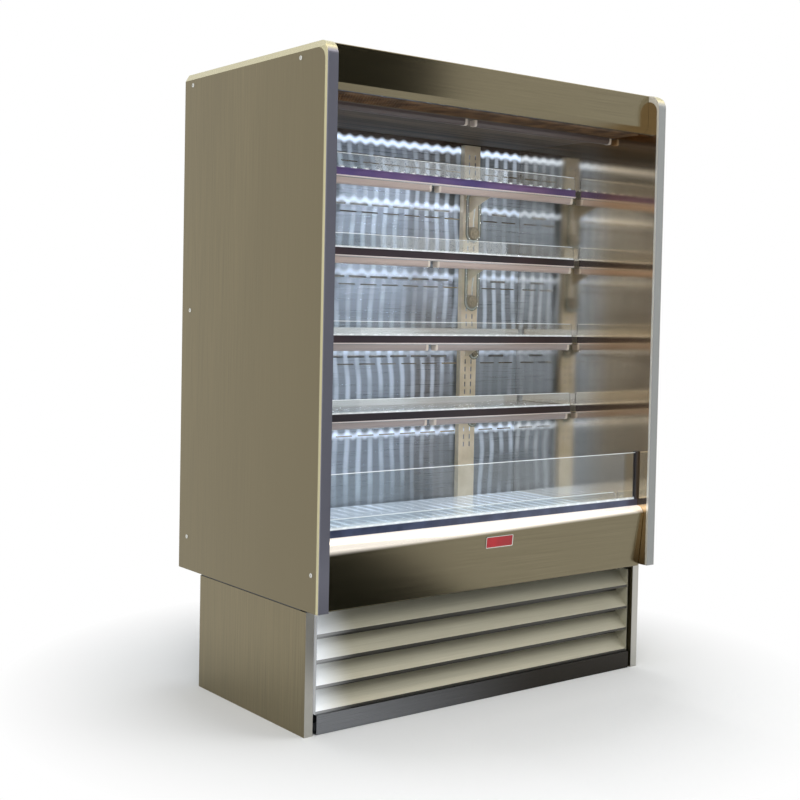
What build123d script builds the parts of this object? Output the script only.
from build123d import *
import math
import os

# Open multideck display fridge, in millimetres. The origin is on the floor under the
# middle of the case: +X to the shopper's right, +Y to the back, +Z up.

# ---- case
case_w = 1295.0          # over both end panels
case_d = 776.0           # front edge trim to back panel
case_h = 1846.0
body_bottom = 343.0      # underside of the cabinet above the floor
end_t = 36.0             # end panel, foam filled
sheet_t = 1.5            # outer stainless sheet
liner_t = 1.2            # inner stainless sheet
corner_r = 44.0          # rounded front top corner of an end panel
trim_d = 8.0             # front edge trim, front to back
edge_r = 5.0             # rounding of the trim's outer edge
bevel_h = 20.0           # bevel along the top of an end panel
bevel_w = 12.0
play = 0.5               # side play of the sheets that fit between the end panels
screw_in = 50.0          # rear screws ahead of the case back
screw_down = 37.0        # upper screws below the case top
screw_up = 100.0         # lower screws above the end panel's underside
screw_mid = 714.0        # middle screw of the rear column below the case top
screw_top_in = 125.0     # front screw of the top pair behind the case front
screw_low_in = 32.0      # front screw of the low pair behind the case front

# ---- foam and air duct
back_foam = 48.0
roof_foam = 50.0
floor_foam = 38.0
canopy_foam = 36.0
fold_room = 3.0          # the foam's corners are cut back by this inside a folded sheet
duct_face = 650.0        # front of the perforated rear duct panel, behind the case front
ceiling_drop = 23.0      # underside of the ceiling panel below the canopy face

# ---- canopy
canopy_recess = 44.0     # canopy face behind the end panels' front
canopy_h = 101.0         # canopy face, from the roof down to where it turns into its lip
lip_drop = 18.0
lip_run = 16.0
comb_d = 106.0           # air outlet, front to back
comb_h = 20.0
lamp_w = 24.0
lamp_h = 19.0
lamp_gap = 30.0          # between the two lamps of a row
lamp_gap_y = 4.0         # lamp behind the face it hangs under
lead_r = 6.0             # lamp lead in its clear sleeve
socket_r = 23.0          # round socket on the upright
socket_d = 22.0
socket_low = 146.0       # its centre below the shelf surface
plug_r = 11.0            # small socket of the lower shelves
plug_low = 66.0          # its centre below the shelf surface
plug_x = 15.0            # its centre from the middle of the upright, clear of the bracket

# ---- lower front
nose_bottom = 337.0
nose_foot = 36.0         # foot of the nose panel behind the case front
nose_lead = 17.0         # its top, which leans forward
nose_top = 532.0
nose_roll = 26.0         # radius of the rolled top edge
sill_back = 64.0         # rear edge of the sill
channel_h = 20.0         # channel that holds the clear guard
channel_w = 16.0
guard_y = 56.0           # middle of the clear guard
guard_t = 4.0
guard_top = 703.0
deck_z = 508.0           # deck pan surface
deck_front = 142.0       # deck pan front edge behind the case front
deck_flange = 10.0
ledge_d = 20.0           # ledge ahead of the uprights that carries the deck pan's rear
stop_t = 3.0             # clear product stops
deck_stop_h = 56.0

# ---- shelves
shelf_front = 350.0      # face of the price tag moulding behind the case front
slot_pitch = 26.0        # pitch of the slots in the uprights
first_slot = 679.0       # lower edge of the lowest slot above the floor
shelf_count = 4
low_shelf_slot = 5       # slot that carries the lowest shelf
top_clear = 150.0        # least height between the top shelf and the ceiling panel
slot_h = 16.0
slot_w = 5.0
slot_x = 13.0            # slot column from the middle of the upright
upright_x = 372.0        # upright from the middle of the case
upright_w = 70.0
upright_d = 20.0
shelf_rise = 24.0        # shelf surface above the lower edge of its carrying slot
shelf_side_gap = 14.0    # shelf end to the liner
shelf_lip = 26.0         # front edge, folded down
shelf_fold = 22.0        # and then back, to carry the lamps
shelf_upstand = 20.0     # rear edge, folded up
shelf_side = 20.0        # end plates, downwards
tag_h = 25.0
tag_d = 6.0
tag_lift = 1.0           # moulding's top above the shelf surface
shelf_stop_h = 44.0
bracket_t = 3.0
bracket_rear = 74.0
bracket_nose = 16.0
hook_neck = 8.8
hook_lip = 6.0
hook_seat = 0.2          # clearance of a hook on its slot

# ---- base
base_front = 62.0        # kick plate behind the case front
base_back = 128.0        # base's rear face ahead of the case back
base_inset = 6.0         # base side behind the end panel's face
base_reveal = 6.0        # dark gap between the base side and the end panel
post_face = 26.0         # front return of the base side, seen as a corner post
post_return = 26.0
frame_t = 3.0            # base frame steel
frame_w = 34.0           # leg of its angles
tray_h = 24.0            # rim of its floor tray
kick_h = 54.0
grille_w = 1204.0
louvre_n = 4
louvre_pitch = 69.7
louvre_in = 10.0         # front edges of the blades behind the kick plate's face
louvre_run = 50.0        # blade, front to back
louvre_rise = 42.0
louvre_lip = 7.0         # front edge, folded down
louvre_rear = 8.0        # rear edge, folded up
louvre_t = 1.5
fan_r = 120.0
evap_fan_r = 50.0
knob_x = 55.0            # temperature knob from the left edge of the control box
switch_x = 133.0         # light switch from the same edge
control_z = 65.0         # both above the underside of the box
shaft_r = 4.9            # shaft of the knob
pivot_in = 5.0           # pivot pin of the switch behind the face of the box

# ---- derived places
front = -case_d / 2
back = case_d / 2
side_x = case_w / 2
inner_x = side_x - end_t
fit_x = inner_x - play
liner_back = back - sheet_t - back_foam
liner_roof = case_h - sheet_t - roof_foam
liner_floor = body_bottom + sheet_t + floor_foam
canopy_y = front + canopy_recess
liner_canopy = canopy_y + sheet_t + canopy_foam
canopy_low = case_h - canopy_h
ceiling_z = canopy_low - ceiling_drop
duct_y = front + duct_face
upright_y = duct_y - upright_d
shelf_y = front + shelf_front
shelf_x = inner_x - shelf_side_gap
top_shelf_slot = int((ceiling_z - top_clear - shelf_rise - first_slot) // slot_pitch)
slot_step = (top_shelf_slot - low_shelf_slot) / (shelf_count - 1)
shelf_slots = [low_shelf_slot + round(i * slot_step) for i in range(shelf_count)]
shelf_tops = [first_slot + n * slot_pitch + shelf_rise for n in shelf_slots]
least_step = min(high - low for low, high in zip(shelf_tops, shelf_tops[1:]))
socket_drop = min(socket_low, least_step - shelf_upstand - socket_r - 2 * lead_r - 6)
sill_y = front + sill_back
base_y = front + base_front
base_rear = back - base_back
base_x = side_x - base_inset
louvre_first = kick_h + louvre_lip + 0.3
grille_rear = base_y + louvre_in + louvre_run + 8
seat_z = deck_z - deck_flange       # ledge that carries the deck pan and the air intake
comb_y = liner_canopy + liner_t
ceiling_y = comb_y + comb_d
baffle_y = front + deck_front + 6   # evaporator baffle


def block(x0, x1, y0, y1, z0, z1):
    """A block between two corners."""
    middle = Pos((x0 + x1) / 2, (y0 + y1) / 2, (z0 + z1) / 2)
    return middle * Box(x1 - x0, y1 - y0, z1 - z0)


def side_prism(points, x0, x1):
    """A side view outline of (y, z) points, run across the case from x0 to x1."""
    face = make_face(Polyline(*points, close=True))
    return Pos(x0, 0, 0) * extrude(Plane.YZ * face, amount=x1 - x0)


def fold_line(points, radius):
    """The middle line of a folded sheet, with crisp folds where the radius is 0."""
    if radius == 0:
        return Polyline(*points)
    return FilletPolyline(*points, radius=radius)


def bent_sheet(points, thickness, radius, x0, x1):
    """A folded sheet whose middle follows the (y, z) points, across from x0 to x1."""
    section = trace(fold_line(points, radius), line_width=thickness)
    return Pos(x0, 0, 0) * extrude(Plane.YZ * section, amount=x1 - x0)


def upright_sheet(points, thickness, radius, z0, z1):
    """A folded sheet whose middle follows the (x, y) points, standing from z0 to z1."""
    section = trace(fold_line(points, radius), line_width=thickness)
    return Pos(0, 0, z0) * extrude(section, amount=z1 - z0)


def both_sides(part):
    """The part and its mirror image on the other side of the case."""
    return part + mirror(part, about=Plane.YZ)


def welded(pieces):
    """Pieces joined face to face in one node, each kept as its own solid."""
    return Compound([solid for piece in pieces for solid in piece.solids()])


def end_outline(ahead, above, behind, below, radius):
    """End panel's side view, held back from the case outline by the four distances."""
    y0, y1 = front + ahead, back - behind
    z0, z1 = body_bottom + below, case_h - above
    bow = radius * (1 - math.sqrt(0.5))
    edges = [
        Line((y0, z0), (y1, z0)),
        Line((y1, z0), (y1, z1)),
        Line((y1, z1), (y0 + radius, z1)),
        ThreePointArc((y0 + radius, z1), (y0 + bow, z1 - bow), (y0, z1 - radius)),
        Line((y0, z1 - radius), (y0, z0)),
    ]
    return Plane.YZ * make_face(edges)


def end_panel():
    """Right end panel: trim, outer skin, foam core and inner liner."""
    core_r = corner_r - trim_d
    inner_x1 = inner_x + liner_t
    skin_x0 = side_x - sheet_t
    whole = Pos(inner_x, 0, 0) * extrude(end_outline(0, 0, 0, 0, corner_r), amount=end_t)
    outer_edges = whole.edges().filter_by_position(Axis.X, side_x - 0.1, side_x + 0.1)
    ahead = [e for e in outer_edges if e.center().Y < front + corner_r]
    trim = fillet(ahead, edge_r)
    bevel = make_face(Polyline(
        (side_x + 1, case_h - bevel_h),
        (side_x, case_h - bevel_h),
        (side_x - bevel_w, case_h),
        (side_x - bevel_w, case_h + 1),
        (side_x + 1, case_h + 1), close=True))
    wedge = extrude(Plane.XZ * bevel, amount=case_d, both=True)
    field = end_outline(trim_d, bevel_h, 0, 0, core_r)
    trim = trim - wedge - Pos(inner_x, 0, 0) * extrude(field, amount=end_t)
    skin = Pos(skin_x0, 0, 0) * extrude(field, amount=sheet_t)
    top = case_h - bevel_h
    skin += block(inner_x1, skin_x0, back - sheet_t, back, body_bottom, top)
    skin += block(inner_x1, skin_x0, front + trim_d, back, body_bottom, body_bottom + sheet_t)
    liner = Pos(inner_x, 0, 0) * extrude(field, amount=liner_t)
    foam_field = end_outline(trim_d, bevel_h, sheet_t, sheet_t, core_r)
    foam = Pos(inner_x1, 0, 0) * extrude(foam_field, amount=skin_x0 - inner_x1)
    return trim, skin, liner, foam


def roof_panel():
    """Outer roof sheet with a turned-down rear edge."""
    z = case_h - sheet_t / 2
    y = back - sheet_t / 2
    start = canopy_y + 30
    return bent_sheet([(start, z), (y, z), (y, case_h - 26)], sheet_t, 0, -fit_x, fit_x)


def back_panel():
    """Outer back sheet, folded forward under the cabinet as its floor."""
    y = back - sheet_t / 2
    z = body_bottom + sheet_t / 2
    points = [(y, case_h - 26), (y, z), (front + nose_foot + 24, z)]
    return bent_sheet(points, sheet_t, 0, -fit_x, fit_x)


def cabinet_liner():
    """Inner tank: front wall of the tub, floor, back, duct roof and canopy inner wall."""
    half = liner_t / 2
    points = [
        (sill_y + half, seat_z),
        (sill_y + half, liner_floor + half),
        (liner_back - half, liner_floor + half),
        (liner_back - half, liner_roof - half),
        (liner_canopy + half, liner_roof - half),
        (liner_canopy + half, canopy_low),
    ]
    return bent_sheet(points, liner_t, 0, -fit_x, fit_x)


def cabinet_foam():
    """Foam between the outer sheets and the inner tank, open towards the front."""
    floor_z = body_bottom + sheet_t
    roof_z = case_h - sheet_t
    rear_y = back - sheet_t
    face_y = canopy_y + sheet_t
    lip_z = canopy_low + fold_room
    lean = (nose_foot - nose_lead) / (nose_top - nose_bottom)
    foot_y = front + nose_foot + sheet_t + 1
    points = [
        (foot_y, floor_z),
        (rear_y - fold_room, floor_z),
        (rear_y, floor_z + fold_room),
        (rear_y, roof_z - fold_room),
        (rear_y - fold_room, roof_z),
        (face_y + fold_room, roof_z),
        (face_y, roof_z - fold_room),
        (face_y, lip_z),
        (liner_canopy, lip_z),
        (liner_canopy, liner_roof),
        (liner_back, liner_roof),
        (liner_back, liner_floor),
        (sill_y, liner_floor),
        (sill_y, seat_z),
        (foot_y - lean * (seat_z - floor_z), seat_z),
    ]
    return side_prism(points, -fit_x, fit_x)


def rear_duct_panel():
    """Perforated panel ahead of the rear air duct, with a ledge for the deck pan."""
    x = fit_x
    panel = bent_sheet(
        [(upright_y - ledge_d, seat_z - liner_t / 2),
         (duct_y + liner_t / 2, seat_z - liner_t / 2),
         (duct_y + liner_t / 2, ceiling_z)], liner_t, 0, -x, x)
    slot_l, slot_row = 68.0, 86.0
    slots = Part()
    for top in shelf_tops + [ceiling_z]:
        for i in range(13):
            centre = (i - 6) * slot_row
            if abs(abs(centre) - upright_x) < (upright_w + slot_l) / 2:
                continue
            slots += Pos(centre, duct_y, top - 75) * Box(slot_l, 6, 7)
    return panel - slots


def ceiling_panel():
    """Mirror-bright ceiling sheet with a turned-up front edge."""
    z = ceiling_z + liner_t / 2
    y = ceiling_y + liner_t / 2
    return bent_sheet([(y, z + 14), (y, z), (duct_y + liner_t, z)], liner_t, 0, -fit_x, fit_x)


def slotted_upright():
    """One upright: a channel open to the back, with two columns of slots."""
    half = liner_t / 2
    x = upright_w / 2 - half
    path = [(-x, duct_y), (-x, upright_y + half), (x, upright_y + half), (x, duct_y)]
    z0 = seat_z + fold_room
    z1 = ceiling_z - 8
    body = upright_sheet(path, liner_t, 0, z0, z1)
    count = int((z1 - first_slot - slot_h - 10) // slot_pitch) + 1
    slots = Part()
    for i in range(count):
        for x in (-slot_x, slot_x):
            z = first_slot + i * slot_pitch + slot_h / 2
            slots += Pos(x, upright_y, z) * Box(slot_w, 8, slot_h)
    return body - slots


def uprights():
    """Both uprights on the rear duct panel."""
    one = slotted_upright()
    return Pos(-upright_x, 0, 0) * one + Pos(upright_x, 0, 0) * one


def canopy_front():
    """Canopy face with its top return, angled lip and the rail behind the lip."""
    half = sheet_t / 2
    y = canopy_y + half
    lip_z = canopy_low - lip_drop + half
    rail_y = liner_canopy - half - 0.2
    points = [
        (canopy_y + 30, case_h - half),
        (y, case_h - half),
        (y, canopy_low),
        (y + lip_run, lip_z),
        (rail_y, lip_z),
        (rail_y, canopy_low - 0.5),
    ]
    return bent_sheet(points, sheet_t, 2, -fit_x, fit_x)


def air_discharge_honeycomb():
    """Air outlet grid between the canopy and the ceiling panel."""
    z0 = ceiling_z + 2
    x = fit_x - 2
    y0, y1 = comb_y, ceiling_y - 0.2
    across, deep = 14, 2
    wall = 1.6
    rim = 4.0
    cell_x = (2 * x - 2 * rim + wall) / across
    cell_y = (y1 - y0 - 2 * rim + wall) / deep
    with BuildSketch() as grid:
        with Locations((0, (y0 + y1) / 2)):
            Rectangle(2 * x, y1 - y0)
            with GridLocations(cell_x, cell_y, across, deep):
                Rectangle(cell_x - wall, cell_y - wall, mode=Mode.SUBTRACT)
    return Pos(0, 0, z0) * extrude(grid.sketch, amount=comb_h)


def lamp(length):
    """One lamp bar: flat back on top, faceted lens below, from x 0 to its length."""
    w, h = lamp_w / 2, lamp_h
    return side_prism([
        (-w, 0), (w, 0), (w, -h * 0.45), (w * 0.72, -h * 0.82), (w * 0.3, -h),
        (-w * 0.3, -h), (-w * 0.72, -h * 0.82), (-w, -h * 0.45),
    ], 0, length)


def lamp_row(half_span, y, z):
    """Two lamps end to end under a panel whose underside is at z."""
    length = half_span - lamp_gap / 2
    right = Pos(lamp_gap / 2, y, z) * lamp(length)
    left = Pos(-half_span, y, z) * lamp(length)
    return right + left


def canopy_lamps():
    """Lamps under the front of the ceiling panel."""
    return lamp_row(shelf_x, ceiling_y + lamp_gap_y + lamp_w / 2, ceiling_z)


def nose_panel():
    """Lower front panel: foot, leaning face, rolled top and the sill behind it."""
    half = sheet_t / 2
    points = [
        (front + nose_foot + 24, nose_bottom + half),
        (front + nose_foot + half, nose_bottom + half),
        (front + nose_lead + half, nose_top - half),
        (sill_y - half, nose_top - half),
        (sill_y - half, seat_z + 0.3),
    ]
    x = inner_x - 1.5
    return bent_sheet(points, sheet_t, [3, nose_roll, 3], -x, x)


def guard_channel():
    """Rail on the sill and two end posts that hold the clear guard."""
    y0 = front + guard_y - channel_w / 2
    y1 = y0 + channel_w
    z0 = nose_top
    rail = block(-fit_x, fit_x, y0, y1, z0, z0 + channel_h)
    post = block(fit_x - 9, fit_x, y0, y1, z0 + channel_h, guard_top + 3)
    groove_y0 = front + guard_y - guard_t / 2 - 0.3
    groove_y1 = front + guard_y + guard_t / 2 + 0.3
    rail -= block(-fit_x + 3, fit_x - 3, groove_y0, groove_y1, z0 + 4, z0 + channel_h)
    post -= block(fit_x - 9, fit_x - 3, groove_y0, groove_y1, z0 + channel_h, guard_top + 3)
    ease = post.edges().filter_by(Axis.Z).filter_by_position(Axis.X, fit_x - 9.1, fit_x - 8.9)
    corners = [e for e in ease if not groove_y0 - 1 < e.center().Y < groove_y1 + 1]
    post = fillet(corners, 2)
    return rail + both_sides(post)


def front_guard():
    """Clear guard, slid down between the end posts into the rail."""
    x = fit_x - 3.3
    plate = block(-x, x, front + guard_y - guard_t / 2, front + guard_y + guard_t / 2,
                  nose_top + 4.3, guard_top)
    return chamfer(plate.edges().filter_by(Axis.X).group_by(Axis.Z)[-1], 0.8)


def return_air_grille():
    """Air intake between the sill and the deck: slotted top with turned-down sides."""
    y0 = sill_y + 1.5
    y1 = front + deck_front - 1
    z = deck_z + 4
    half = sheet_t / 2
    top = bent_sheet(
        [(y0 + half, seat_z + 0.3), (y0 + half, z - half),
         (y1 - half, z - half), (y1 - half, seat_z + 0.3)], sheet_t, 0, -fit_x + 1, fit_x - 1)
    slots = Part()
    pitch = 40.0
    count = int((2 * fit_x - pitch) // pitch)
    for i in range(count):
        x = (i - (count - 1) / 2) * pitch
        slots += Pos(x, (y0 + y1) / 2, z) * Box(pitch * 0.4, y1 - y0 - 22, 8)
    return top - slots


def deck_pan():
    """Lowest display surface: one tray with turned-down edges over the evaporator."""
    x = fit_x - 1
    y0 = front + deck_front
    y1 = upright_y - 2
    tray = block(-x, x, y0, y1, seat_z + 0.3, deck_z)
    inside = block(-x + sheet_t, x - sheet_t, y0 + sheet_t, y1 - sheet_t, seat_z, deck_z - sheet_t)
    tray = fillet(tray.edges().group_by(Axis.Z)[-1], 1.2) - inside
    rib_w = 30.0
    ribs = Part()
    for i in range(5):
        rib_x = (i - 2) * 230
        ribs += block(rib_x - rib_w / 2, rib_x + rib_w / 2, y0 + 60, y1 - 60,
                      deck_z - sheet_t - 3, deck_z - sheet_t)
    return tray + ribs


def clear_stop(half_width, y, z, height, foot):
    """Clear product stop: an upright plate with rounded top corners and a rear foot."""
    plate = block(-half_width, half_width, y, y + stop_t, z, z + height)
    corners = plate.edges().filter_by(Axis.Y).group_by(Axis.Z)[-1]
    plate = fillet(corners, 9)
    return plate + block(-half_width, half_width, y + stop_t, y + foot, z, z + stop_t)


def deck_front_stop():
    """Clear stop on the front of the deck pan."""
    return clear_stop(fit_x - 6, front + deck_front + 2, deck_z, deck_stop_h, 22)


def shelf_pan(top):
    """Shelf tray: front edge folded down and back, rear edge folded up, ends closed."""
    half = liner_t / 2
    y0 = shelf_y + tag_d
    y1 = upright_y - 2
    z = top - half
    fold_z = top - shelf_lip
    tray = bent_sheet(
        [(y0 + shelf_fold, fold_z), (y0 + half, fold_z), (y0 + half, z),
         (y1 - half, z), (y1 - half, top + shelf_upstand)], liner_t, 0, -shelf_x, shelf_x)
    end = block(shelf_x - liner_t, shelf_x, y0 + 3, y1 - 3, top - shelf_side, top - liner_t)
    return tray + both_sides(end)


def shelf_bracket(top, slot_z):
    """One bracket in side view: tapered arm under the shelf with three rear hooks."""
    y0 = shelf_y + tag_d + shelf_fold + 4
    y1 = upright_y - 0.6
    under = top - liner_t
    neck_y = upright_y + liner_t + 0.6
    arm = make_face([
        Line((y0, under), (y1, under)),
        Line((y1, under), (y1, under - bracket_rear)),
        Line((y1, under - bracket_rear), (y1 - 14, under - bracket_rear)),
        ThreePointArc((y1 - 14, under - bracket_rear), (y1 - 84, under - bracket_rear * 0.52),
                      (y0, under - bracket_nose)),
        Line((y0, under - bracket_nose), (y0, under)),
    ])
    plate = extrude(Plane.YZ * arm, amount=bracket_t)
    for i in range(3):
        seat = slot_z + hook_seat - i * slot_pitch
        neck = block(0, bracket_t, y1 - 2, neck_y + 4, seat, seat + hook_neck)
        claw = block(0, bracket_t, neck_y, neck_y + 4, seat - hook_lip, seat + hook_neck)
        plate += neck + claw
    rim = block(-10, bracket_t, y0, y1 - 2, under - liner_t, under)
    return plate + rim


def shelf_brackets(top, slot_z):
    """A bracket in the inner slot column of each upright."""
    x = upright_x - slot_x - bracket_t / 2
    return both_sides(Pos(x, 0, 0) * shelf_bracket(top, slot_z))


def tag_moulding(top):
    """Price tag moulding: a shallow channel whose lips hold the tag strip."""
    z1 = top + tag_lift
    z0 = z1 - tag_h
    y = shelf_y
    points = [
        (y + tag_d - 0.3, z0), (y + tag_d - 0.3, z1), (y + 1.5, z1), (y, z1 - 1.5),
        (y, z1 - 3.5), (y + 1.2, z1 - 3.5), (y + 2.6, z1 - 2.2), (y + 3.2, z1 - 4),
        (y + 3.2, z0 + 4), (y + 2.6, z0 + 2.2), (y + 1.2, z0 + 3.5), (y, z0 + 3.5),
        (y, z0 + 1.5), (y + 1.5, z0),
    ]
    return side_prism(points, -shelf_x, shelf_x)


def shelf_lamps(top):
    """Two lamps under the front fold of a shelf."""
    y = shelf_y + tag_d + lamp_gap_y + lamp_w / 2
    return lamp_row(shelf_x - 6, y, top - shelf_lip - liner_t / 2)


def lamp_lead(top, middle, drop, radius):
    """Lead from both lamps' backs, under the shelf and in a loop round its socket."""
    lamp_back = shelf_y + tag_d + lamp_gap_y + lamp_w + 0.3 + lead_r / 8
    lamp_z = top - shelf_lip - liner_t / 2 - 8
    along_z = top - liner_t - lead_r - 4
    hang_y = upright_y - 12
    loop_r = radius + lead_r * 0.7
    loop_z = top - drop
    points = [
        (loop_r, lamp_back, lamp_z), (loop_r, hang_y, along_z), (loop_r, hang_y, loop_z),
        (loop_r * 0.5, hang_y, loop_z - loop_r * 0.87),
    ]
    points += [(-x, y, z) for x, y, z in reversed(points)]
    path = Polyline(*points)
    profile = Plane(path @ 0, z_dir=path % 0) * RegularPolygon(lead_r, 4)
    loop = sweep(profile, path=path, transition=Transition.RIGHT)
    rear = Plane((0, upright_y - 0.3, loop_z), z_dir=(0, -1, 0))
    return Pos(middle, 0, 0) * (loop + extrude(rear * RegularPolygon(radius, 16), amount=socket_d, taper=9))


def lamp_leads():
    """Leads and sockets of every shelf at both uprights, low on the upper two shelves."""
    every = Part()
    for level, top in enumerate(shelf_tops):
        if level < shelf_count // 2:
            lead = lamp_lead(top, plug_x, plug_low, plug_r)
        else:
            lead = lamp_lead(top, 0, socket_drop, socket_r)
        every += both_sides(Pos(upright_x, 0, 0) * lead)
    return every


def base_side_panels():
    """Base sides, folded round the front as corner posts and round the back."""
    half = sheet_t / 2
    x = base_x - half
    z1 = body_bottom - base_reveal
    path = [
        (base_x - post_face, base_y + post_return), (base_x - post_face, base_y + half),
        (x, base_y + half), (x, base_rear - half), (base_x - 30, base_rear - half),
    ]
    return both_sides(upright_sheet(path, sheet_t, 0, 0, z1))


def base_frame():
    """Welded frame: floor plate with rims, four angle posts, and a ring on three webs."""
    x = base_x - sheet_t - play
    y0 = base_y + post_return + frame_t
    y1 = base_rear - sheet_t - play
    ring_z = body_bottom - frame_t
    web_z = body_bottom - frame_w
    bars = [
        block(-x, x, y0, y1, 0, frame_t),
        block(-x, x, y0, y0 + frame_t, frame_t, tray_h),
        block(-x, x, y1 - frame_t, y1, frame_t, tray_h),
        block(-x + frame_t, x - frame_t, y1 - frame_t, y1, web_z, ring_z),
        block(-x, x, y0, y1, ring_z, body_bottom)
        - block(-x + frame_w, x - frame_w, y0 + frame_w, y1 - frame_w, ring_z, body_bottom),
    ]
    side = [
        block(x - frame_t, x, y0 + frame_t, y1 - frame_t, frame_t, tray_h),
        block(x - frame_t, x, y0, y1, web_z, ring_z),
    ]
    for y, inward in ((y0, 1), (y1, -1)):
        near, far = sorted((y, y + inward * frame_w))
        face0, face1 = sorted((y, y + inward * frame_t))
        post = block(x - frame_t, x, near, far, tray_h, web_z)
        side.append(post + block(x - frame_w, x, face0, face1, tray_h, web_z))
    bars += side + [mirror(bar, about=Plane.YZ) for bar in side]
    return welded(bars)


def kick_plate():
    """Toe plate under the louvres, folded back at the top and bottom."""
    half = sheet_t / 2
    y1 = base_y + post_return + frame_t
    points = [
        (y1 - 0.3, 1 + half), (base_y + half, 1 + half),
        (base_y + half, kick_h - half), (y1 - 0.3, kick_h - half),
    ]
    return bent_sheet(points, sheet_t, 0, -grille_w / 2, grille_w / 2)


def louvred_grille():
    """Lift-off front grille: four sloping blades between two end plates."""
    x = grille_w / 2
    y0 = base_y + louvre_in
    half = louvre_t / 2
    grille = Part()
    for i in range(louvre_n):
        z = louvre_first + i * louvre_pitch
        points = [
            (y0 + half, z - louvre_lip), (y0 + half, z),
            (y0 + louvre_run, z + louvre_rise), (y0 + louvre_run, z + louvre_rise + louvre_rear),
        ]
        grille += bent_sheet(points, louvre_t, 0, -x + louvre_t, x - louvre_t)
    top = louvre_first + (louvre_n - 1) * louvre_pitch + louvre_rise + louvre_rear
    end = block(x - louvre_t, x, y0 - 2, grille_rear, kick_h, top)
    return grille + both_sides(end)


def base_rear_panel():
    """Rear machine cover with rows of punched vents."""
    z0, z1 = 26.0, body_bottom - 8
    y0, y1 = base_rear - sheet_t, base_rear
    panel = block(-base_x + 31, base_x - 31, y0, y1, z0, z1)
    vents = Part()
    for row in range(3):
        for i in range(6):
            vents += Pos((i - 2.5) * 160, base_rear, 120 + row * 45) * Box(120, 8, 8)
    return panel - vents


def finned_core(x0, x1, y0, y1, pitch, fin, spine):
    """Plan view of a coil: fins on both sides of a tube row."""
    count = int((x1 - x0 - fin) // pitch) + 1
    middle = (y0 + y1) / 2
    core = Pos((x0 + x1) / 2, middle) * Rectangle(x1 - x0, spine)
    start = (x0 + x1) / 2 - (count - 1) * pitch / 2
    for i in range(count):
        core += Pos(start + i * pitch, middle) * Rectangle(fin, y1 - y0)
    return core


def condenser_coil():
    """Condenser behind the louvres: finned core between two end plates."""
    x0, x1 = 70.0, 560.0
    y0 = grille_rear + 14
    y1 = y0 + 48
    z0 = frame_t
    core = Pos(0, 0, z0) * extrude(finned_core(x0, x1, y0, y1, 40, 1.2, 6), amount=286)
    return welded([core] + [block(x, x + 2, y0, y1 + 6, z0, z0 + 292) for x in (x0 - 2, x1)])


def condenser_fan_place():
    """Centre of the condenser fan, on its turning axis."""
    return 315.0, grille_rear + 14 + 48 + 62, 158.0


def condenser_fan_mount():
    """Shroud behind the condenser, with the fan motor on four arms of its collar."""
    cx, cy, cz = condenser_fan_place()
    x0, x1 = cx - 243, cx + 243
    y0 = grille_rear + 14 + 48 + 6.5
    z0, z1 = frame_t, 292
    wall_y = cy - 12
    ring_r = fan_r + 8
    ring = RegularPolygon(ring_r, 32)
    rear = block(x0, x1, wall_y - 2, wall_y, z0, z1)
    rear -= extrude(Plane((cx, wall_y - 10, cz), z_dir=(0, 1, 0)) * ring, amount=20)
    walls = [
        block(x0, x1, y0, wall_y - 2, z0, z0 + 2), block(x0, x1, y0, wall_y - 2, z1 - 2, z1),
        block(x0, x0 + 2, y0, wall_y - 2, z0 + 2, z1 - 2),
        block(x1 - 2, x1, y0, wall_y - 2, z0 + 2, z1 - 2),
    ]
    collar = Plane((cx, wall_y, cz), z_dir=(0, 1, 0)) * (RegularPolygon(ring_r + 2, 32) - ring)
    carrier = extrude(collar, amount=32)
    carrier += extrude(Plane((cx, cy + 22, cz), z_dir=(0, 1, 0)) * RegularPolygon(36, 20), amount=62)
    for i in range(4):
        turn = Rot(0, 45 + 90 * i, 0)
        carrier += Pos(cx, cy + 24, cz) * turn * block(30, ring_r + 2, -2, 2, -5, 5)
        carrier += Pos(cx, cy, cz) * turn * block(ring_r, ring_r + 4, 10, 26, -5, 5)
    return welded([rear, carrier] + walls)


def axial_fan(radius, hub_r, blades, depth, pitch):
    """Fan wheel about +Y: a hub and pressed blades, each a bowed plate set at the pitch."""
    hub_face = Plane((0, -depth / 2, 0), z_dir=(0, 1, 0)) * RegularPolygon(hub_r, 20)
    wheel = extrude(hub_face, amount=depth)
    chord = depth / math.sin(pitch) * 0.9
    bow = chord * 0.12
    blade_t = 1.6
    along = (0, math.sin(pitch), math.cos(pitch))
    section = trace(Polyline(
        (-chord / 2, 0), (-chord / 5, bow), (chord / 5, bow), (chord / 2, 0)), line_width=blade_t)
    root = Plane((hub_r - 6, 0, 0), x_dir=along, z_dir=(1, 0, 0))
    plan = Plane.XZ * make_face(Polyline(
        (0, -hub_r * 0.5), (radius * 0.94, -chord / 2), (radius, chord * 0.3),
        (radius * 0.7, chord / 2), (0, hub_r * 0.5), close=True))
    blade = extrude(root * section, amount=radius - hub_r + 6) & extrude(plan, amount=depth, both=True)
    for i in range(blades):
        wheel += Rot(0, 360 / blades * i, 0) * blade
    return wheel


def condenser_fan():
    """Condenser fan wheel with its stub shaft to the motor."""
    cx, cy, cz = condenser_fan_place()
    wheel = axial_fan(fan_r, 26, 5, 30, 0.62)
    shaft = Plane((0, 14, 0), z_dir=(0, 1, 0)) * Circle(4)
    return Pos(cx, cy, cz) * (wheel + extrude(shaft, amount=7.7))


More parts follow.
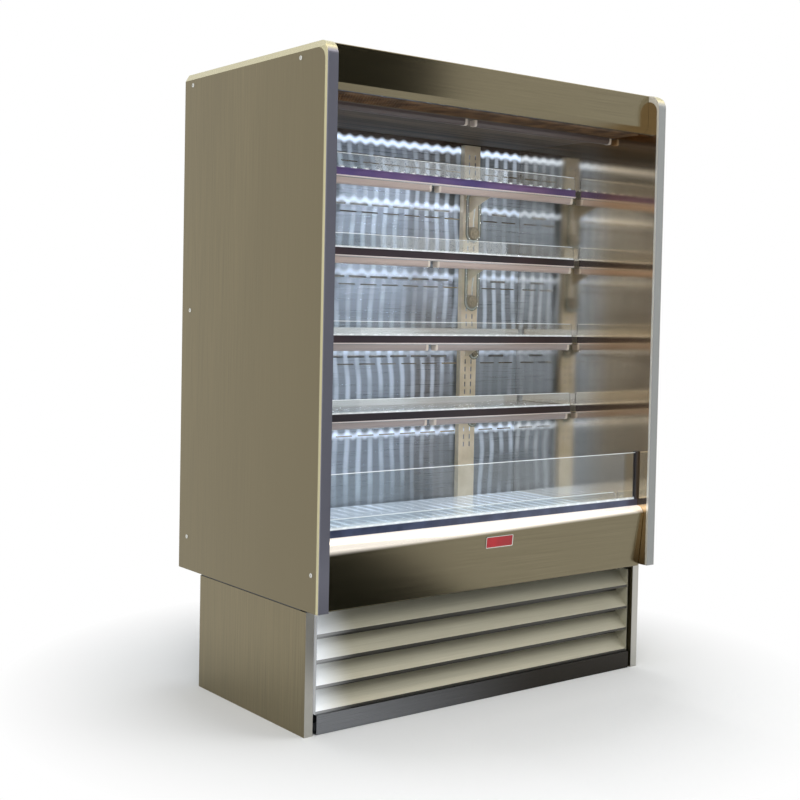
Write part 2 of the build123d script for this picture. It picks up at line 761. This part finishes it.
def compressor():
    """Hermetic compressor: two-part can with a weld rim, on a foot with four mounts."""
    x, y = -330.0, (base_y + base_rear) / 2 + 40
    sides = 24
    body = Pos(0, 0, 30) * extrude(RegularPolygon(92, sides), amount=72)
    body += Pos(0, 0, 100) * extrude(RegularPolygon(97, sides), amount=6)
    body += Pos(0, 0, 106) * extrude(RegularPolygon(92, sides), amount=82, taper=20)
    body += Pos(0, 0, 188) * extrude(RegularPolygon(60, sides), amount=12, taper=60)
    foot = block(-110, 110, -75, 75, 22, 31)
    for sx in (-1, 1):
        for sy in (-1, 1):
            foot += Pos(sx * 92, sy * 57, 0) * extrude(RegularPolygon(14, 6), amount=22)
    terminal_box = block(84, 112, -34, 34, 62, 132)
    stub = Pos(-60, -40, 150) * extrude(RegularPolygon(7, 8), amount=62)
    return Pos(x, y, frame_t) * (body + foot + terminal_box + stub)


def evaporator_coil():
    """Evaporator in the tub with the fan baffle ahead of it."""
    x0, x1 = -540.0, 540.0
    y0, y1 = front + 330, front + 540
    z0 = liner_floor + liner_t
    top = seat_z - 8
    core = Pos(0, 0, z0 + 6) * extrude(finned_core(x0, x1, y0, y1, 90, 1.2, 8), amount=top - z0 - 6)
    feet = block(x0 - 1.5, x0 + 1.2, y0 - 4, y1 + 4, z0, top)
    feet += block(x1 - 1.2, x1 + 1.5, y0 - 4, y1 + 4, z0, top)
    return core + feet


def fan_baffle():
    """Bulkhead under the front of the deck, with the evaporator fan's opening."""
    cx, cy, cz = evaporator_fan_place()
    x = fit_x - 1
    z0 = liner_floor + liner_t
    sheet = bent_sheet(
        [(baffle_y - 22, seat_z - 0.75), (baffle_y, seat_z - 0.75), (baffle_y, z0)],
        sheet_t, 0, -x, x)
    sheet += block(-x, x, baffle_y - 0.75, baffle_y + 24, seat_z - sheet_t, seat_z)
    ring_face = Plane((cx, baffle_y - 0.75, cz), z_dir=(0, 1, 0))
    ring = RegularPolygon(evap_fan_r + 3, 28)
    hole = extrude(ring_face * ring, amount=20, both=True)
    collar = extrude(ring_face * (RegularPolygon(evap_fan_r + 4.5, 28) - ring), amount=22)
    return (sheet - hole) + collar


def evaporator_fan_place():
    """Centre of the evaporator fan, on its turning axis."""
    return 0.0, baffle_y + 12, liner_floor + liner_t + evap_fan_r + 6


def evaporator_fan():
    """Evaporator fan wheel with its stub shaft."""
    cx, cy, cz = evaporator_fan_place()
    wheel = axial_fan(evap_fan_r, 15, 5, 16, 0.6)
    shaft = Plane((0, 7, 0), z_dir=(0, 1, 0)) * Circle(2.5)
    return Pos(cx, cy, cz) * (wheel + extrude(shaft, amount=5.7))


def evaporator_fan_motor():
    """Motor behind the evaporator fan on a foot that stands on the tub floor."""
    cx, cy, cz = evaporator_fan_place()
    z0 = liner_floor + liner_t
    can_face = Plane((cx, cy + 13, cz), z_dir=(0, 1, 0)) * RegularPolygon(24, 20)
    can = extrude(can_face, amount=46)
    foot = block(cx - 30, cx + 30, cy + 16, cy + 54, z0, z0 + 3)
    web = block(cx - 3, cx + 3, cy + 18, cy + 52, z0 + 2, cz - 20)
    return can + foot + web


def control_place():
    """Left, front and lower corner of the control box behind the grille."""
    return -575.0, grille_rear + 30, 150.0


def control_box():
    """Electrical box hung from the front rail, with the controls on its face."""
    x, y, z = control_place()
    w, d, h = 190.0, 90.0, 130.0
    case = block(x, x + w, y, y + d, z, z + h)
    case -= block(x + 2, x + w - 2, y + 2, y + d - 2, z + 2, z + h - 2)
    ring_z = body_bottom - frame_t
    hanger = block(x + 20, x + w - 20, y, y + 2, z + h - 1, ring_z)
    hanger += block(x + 20, x + w - 20, base_y + post_return + 12, y + 2, ring_z - 2, ring_z)
    knob_hole = Plane((x + knob_x, y - 5, z + control_z), z_dir=(0, 1, 0)) * Circle(shaft_r + 0.3)
    case -= extrude(knob_hole, amount=12)
    middle = x + switch_x
    centre = z + control_z
    case -= block(middle - 9.9, middle + 9.9, y - 1, y + 4, centre - 18, centre + 18)
    ear = block(10.2, 13.2, 2, 9, -7, 7) - Pos(0, pivot_in, 0) * Rot(0, 90, 0) * Cylinder(2.3, 60)
    return case + hanger + Pos(middle, y, centre) * both_sides(ear)


def thermostat_knob():
    """Temperature knob with a pointer ridge and a shaft into the box."""
    x, y, z = control_place()
    grip = extrude(Plane((0, -20, 0), z_dir=(0, 1, 0)) * RegularPolygon(17, 12), amount=19.5)
    shaft = extrude(Plane((0, -1, 0), z_dir=(0, 1, 0)) * Circle(shaft_r), amount=14)
    pointer = block(-1.6, 1.6, -21.5, -0.5, 4, 22)
    return Pos(x + knob_x, y, z + control_z) * (grip + shaft + pointer)


def light_switch():
    """Rocker of the light switch on its pivot pin, at rest in its ON tilt."""
    x, y, z = control_place()
    side = make_face(Polyline(
        (-7, -15), (3, -7), (3, 7), (-7, 15), (-5, 7), (-4.4, 0), (-5, -7), close=True))
    rocker = extrude(Plane.YZ * side, amount=9.5, both=True)
    rocker += Rot(0, 90, 0) * Cylinder(2, 26)
    return Pos(x + switch_x, y + pivot_in, z + control_z) * Rot(-8, 0, 0) * rocker


def panel_screws():
    """Low screw heads on both end panels, along the rear edge and near the front."""
    rear = back - screw_in
    low = body_bottom + screw_up
    spots = (
        (rear, case_h - screw_down), (front + screw_top_in, case_h - screw_down),
        (rear, case_h - screw_mid), (rear, low), (front + screw_low_in, low),
    )
    head = extrude(RegularPolygon(6.5, 10), amount=2.4, taper=25)
    right = Part()
    for y, z in spots:
        right += Pos(side_x, y, z) * Rot(0, 90, 0) * head
    return both_sides(right)


def build():
    """Every node of the fridge, by name."""
    trim, skin, liner, foam = end_panel()
    nodes = {
        "roof_panel": roof_panel(),
        "back_panel": back_panel(),
        "cabinet_liner": cabinet_liner(),
        "cabinet_insulation": cabinet_foam() + both_sides(foam),
        "rear_duct_panel": rear_duct_panel(),
        "ceiling_panel": ceiling_panel(),
        "uprights": uprights(),
        "canopy_front": canopy_front(),
        "air_discharge_honeycomb": air_discharge_honeycomb(),
        "canopy_lamps": canopy_lamps(),
        "nose_panel": nose_panel(),
        "guard_channel": guard_channel(),
        "front_guard": front_guard(),
        "return_air_grille": return_air_grille(),
        "deck_pan": deck_pan(),
        "deck_front_stop": deck_front_stop(),
        "lamp_leads": lamp_leads(),
        "base_frame": base_frame(),
        "base_side_panels": base_side_panels(),
        "kick_plate": kick_plate(),
        "louvred_grille": louvred_grille(),
        "base_rear_panel": base_rear_panel(),
        "condenser_coil": condenser_coil(),
        "condenser_fan_mount": condenser_fan_mount(),
        "condenser_fan": condenser_fan(),
        "compressor": compressor(),
        "evaporator_coil": evaporator_coil(),
        "fan_baffle": fan_baffle(),
        "evaporator_fan": evaporator_fan(),
        "evaporator_fan_motor": evaporator_fan_motor(),
        "control_box": control_box(),
        "thermostat_knob": thermostat_knob(),
        "light_switch": light_switch(),
        "panel_screws": panel_screws(),
    }
    for name, piece in (("trim", trim), ("skin", skin), ("liner", liner)):
        nodes[f"end_{name}_right"] = piece
        nodes[f"end_{name}_left"] = mirror(piece, about=Plane.YZ)
    for number, top in enumerate(reversed(shelf_tops), 1):
        shelf = f"shelf_{number}"
        nodes[shelf] = shelf_pan(top)
        nodes[f"{shelf}_brackets"] = shelf_brackets(top, top - shelf_rise)
        nodes[f"{shelf}_tag_moulding"] = tag_moulding(top)
        nodes[f"{shelf}_front_stop"] = clear_stop(shelf_x, shelf_y + tag_d, top, shelf_stop_h, 20)
        nodes[f"{shelf}_lamps"] = shelf_lamps(top)
    return nodes


os.makedirs("parts", exist_ok=True)
for name, piece in build().items():
    export_step(piece, f"parts/{name}.step")
print("shelf surfaces above the floor:", [round(z) for z in shelf_tops])
